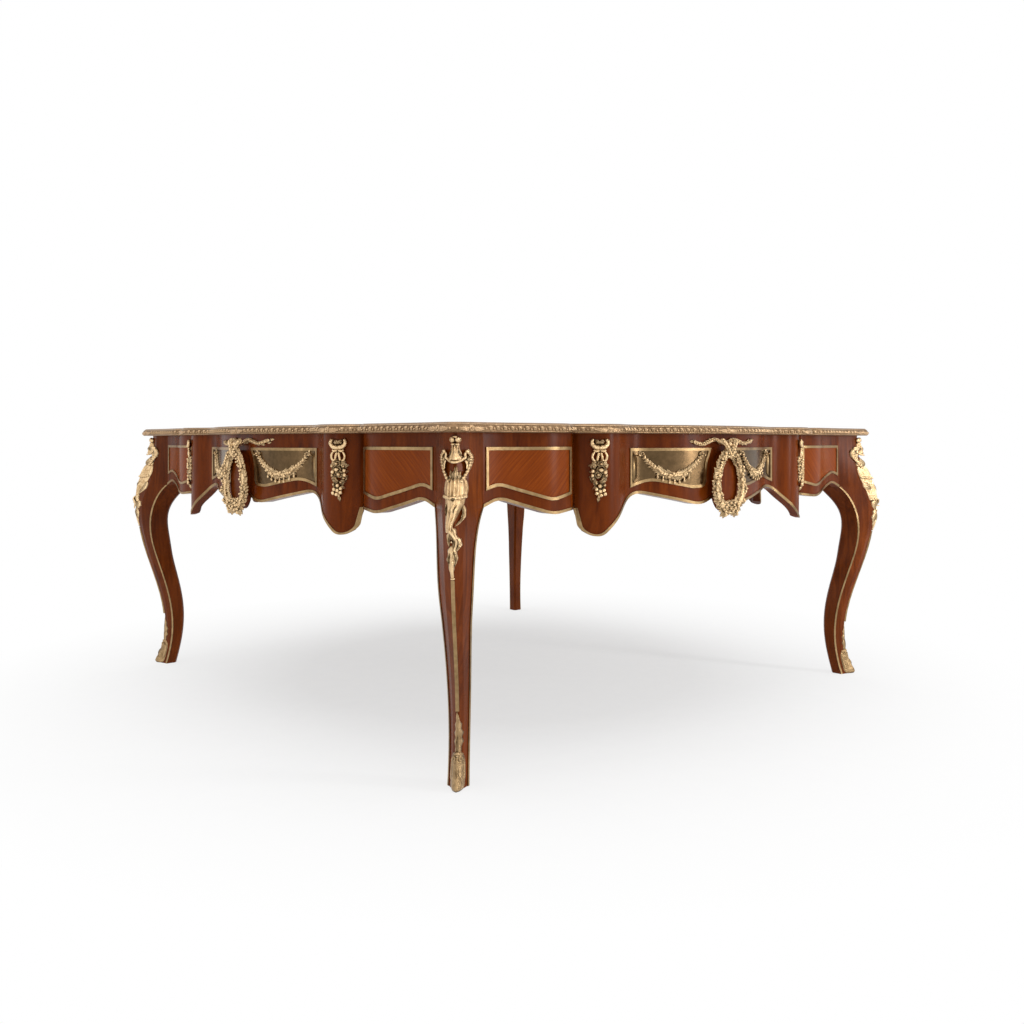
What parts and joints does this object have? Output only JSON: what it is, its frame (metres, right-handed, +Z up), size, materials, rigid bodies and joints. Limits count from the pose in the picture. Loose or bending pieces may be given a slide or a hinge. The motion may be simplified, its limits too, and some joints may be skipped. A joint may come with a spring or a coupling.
{
  "type": "coffee table",
  "caption": "Square low table with slender cabriole legs, a serpentine veneered apron with drop lobes and brass panels, and gilt bronze mounts.",
  "frame": {"origin": "on the floor, under the middle of the top", "axes": "+Z up; the four sides are alike, the front one faces -Y and the right one +X"},
  "size_m": [1.196, 1.196, 0.5],
  "materials": {
    "veneered_wood": "reddish-brown veneer, french polished to a soft gloss",
    "panel_veneer": "striped veneer laid at an angle, french polished",
    "carcass_wood": "plain, unpolished",
    "gilt_bronze": "cast and chased, gilt, dark in its hollows",
    "brass_trim": "polished, aged",
    "brass_sheet": "dull burnished sheet, toned grey-brown",
    "edge_bronze": "cast moulding, gilt, browned with age",
    "screw_steel": "plain steel"
  },
  "bodies": {
    "root": {"brass_sheet_frames": "brass_trim", "brass_sheets_back": "brass_sheet", "brass_sheets_front": "brass_sheet", "brass_sheets_left": "brass_sheet", "brass_sheets_right": "brass_sheet", "centre_apron_back": "veneered_wood", "centre_apron_front": "veneered_wood", "centre_apron_left": "veneered_wood", "centre_apron_right": "veneered_wood", "corner_mount_back_left": "gilt_bronze", "corner_mount_back_right": "gilt_bronze", "corner_mount_front_left": "gilt_bronze", "corner_mount_front_right": "gilt_bronze", "edge_moulding_back": "edge_bronze", "edge_moulding_front": "edge_bronze", "edge_moulding_left": "edge_bronze", "edge_moulding_right": "edge_bronze", "edge_trim_back": "brass_trim", "edge_trim_front": "brass_trim", "edge_trim_left": "brass_trim", "edge_trim_right": "brass_trim", "end_blocks_back": "veneered_wood", "end_blocks_front": "veneered_wood", "end_blocks_left": "veneered_wood", "end_blocks_right": "veneered_wood", "foot_mount_back_left": "gilt_bronze", "foot_mount_back_right": "gilt_bronze", "foot_mount_front_left": "gilt_bronze", "foot_mount_front_right": "gilt_bronze", "glue_blocks": "carcass_wood", "leg_back_left": "veneered_wood", "leg_back_right": "veneered_wood", "leg_edge_strips": "brass_trim", "leg_front_left": "veneered_wood", "leg_front_right": "veneered_wood", "leg_ridge_strips": "brass_trim", "mount_pins": "gilt_bronze", "pendants_back": "gilt_bronze", "pendants_front": "gilt_bronze", "pendants_left": "gilt_bronze", "pendants_right": "gilt_bronze", "rail_back": "carcass_wood", "rail_front": "carcass_wood", "rail_left": "carcass_wood", "rail_right": "carcass_wood", "swags": "gilt_bronze", "top_banding": "veneered_wood", "top_board": "carcass_wood", "top_field_veneers": "panel_veneer", "top_screws": "screw_steel", "top_stringing": "brass_trim", "veneer_panel_frames": "brass_trim", "veneer_panels_back": "panel_veneer", "veneer_panels_front": "panel_veneer", "veneer_panels_left": "panel_veneer", "veneer_panels_right": "panel_veneer", "wreath_back": "gilt_bronze", "wreath_front": "gilt_bronze", "wreath_left": "gilt_bronze", "wreath_right": "gilt_bronze"}
  },
  "joints": []
}
